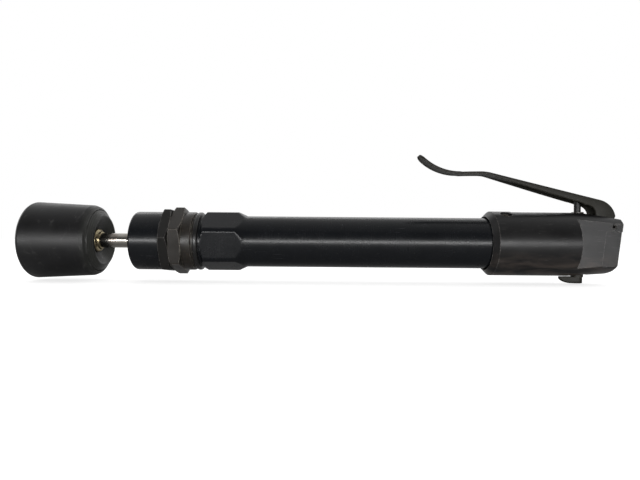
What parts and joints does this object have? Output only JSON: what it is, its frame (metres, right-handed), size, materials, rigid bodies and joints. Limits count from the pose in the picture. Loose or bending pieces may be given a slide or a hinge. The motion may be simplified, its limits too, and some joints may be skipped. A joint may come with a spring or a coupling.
{
  "type": "pneumatic rivet gun",
  "caption": "Straight pneumatic riveting hammer with a lever throttle, a screwed nose, a sliding steel shank and a tapered rubber bumper head.",
  "frame": {"origin": "centre of the air inlet's mouth, on the tool's axis", "axes": "+X out of the inlet along the tool's axis, away from the head; +Z to the lever's side; +Y to the right of someone looking from the inlet to the head with the lever up"},
  "size_m": [0.4015, 0.0528, 0.0891],
  "materials": {
    "bumper_rubber": "satin moulded rubber with scuffed edges",
    "seal_rubber": "smooth black rubber",
    "buffer_rubber": "red-brown polyurethane",
    "polished_steel": "bright ground steel",
    "machined_steel": "turned steel",
    "oxide_steel": "brown-black oxide finish",
    "black_anodised": "gloss black anodised",
    "handle_anodised": "worn satin black anodised",
    "lever_steel": "dark phosphated steel",
    "brass": "turned brass",
    "bronze": "bronze bearing metal"
  },
  "bodies": {
    "hammer": {"nose_cap": "black_anodised", "shank_wiper": "seal_rubber", "jam_nut": "oxide_steel", "nose_bush": "oxide_steel", "shank_bushing": "bronze", "seal_ring": "seal_rubber", "front_buffer": "buffer_rubber", "barrel_tube": "black_anodised", "cylinder_liner": "machined_steel", "front_centring_ring": "machined_steel", "rear_centring_ring": "machined_steel", "valve_body": "machined_steel", "valve_cap": "machined_steel", "valve_dowels": "machined_steel", "handle_body": "handle_anodised", "barrel_seal": "seal_rubber", "lock_screw": "oxide_steel", "lever_pin": "machined_steel", "pin_bushing": "bronze", "inlet_screen": "machined_steel", "regulator_clip": "oxide_steel", "throttle_spring": "machined_steel"},
    "washer": {"thrust_washer": "machined_steel"},
    "tool": {"rubber_head": "bumper_rubber", "head_core": "machined_steel", "head_ferrule": "brass", "tool_shank": "polished_steel"},
    "piston": {"piston": "polished_steel"},
    "disc": {"valve_disc": "machined_steel"},
    "lever": {"throttle_lever": "lever_steel"},
    "plunger": {"throttle_pin": "oxide_steel", "throttle_valve": "machined_steel"},
    "regulator": {"regulator_sleeve": "bronze", "regulator_seals": "seal_rubber", "regulator_knob": "lever_steel"}
  },
  "joints": [
    {"name": "head_spin", "type": "hinge", "parent": "hammer", "child": "washer", "pos_m": [-0.315, 0, 0], "axis": [1, 0, 0], "continuous": true},
    {"name": "head_slide", "type": "slide", "parent": "washer", "child": "tool", "axis": [1, 0, 0], "range_m": [0, 0.008]},
    {"name": "piston_slide", "type": "slide", "parent": "hammer", "child": "piston", "axis": [1, 0, 0], "range_m": [0, 0.1175]},
    {"name": "valve_disc_slide", "type": "slide", "parent": "hammer", "child": "disc", "axis": [1, 0, 0], "range_m": [0, 0.0028]},
    {"name": "lever_pivot", "type": "hinge", "parent": "hammer", "child": "lever", "pos_m": [-0.0013, 0, 0.0116], "axis": [0, -1, 0], "range_deg": [0, 14], "stiffness_Nm_per_rad": 0.4, "springref_deg": -20.05},
    {"name": "throttle_pin_slide", "type": "slide", "parent": "hammer", "child": "plunger", "axis": [0, 0, -1], "range_m": [0, 0.00465], "deforming": ["throttle_spring"]},
    {"name": "regulator_turn", "type": "hinge", "parent": "hammer", "child": "regulator", "pos_m": [-0.018, 0, 0], "axis": [0, 0, 1], "range_deg": [0, 90]}
  ],
  "couplings": [
    {"joint": "throttle_pin_slide", "follows": "lever_pivot", "m_per_rad": 0.019}
  ]
}
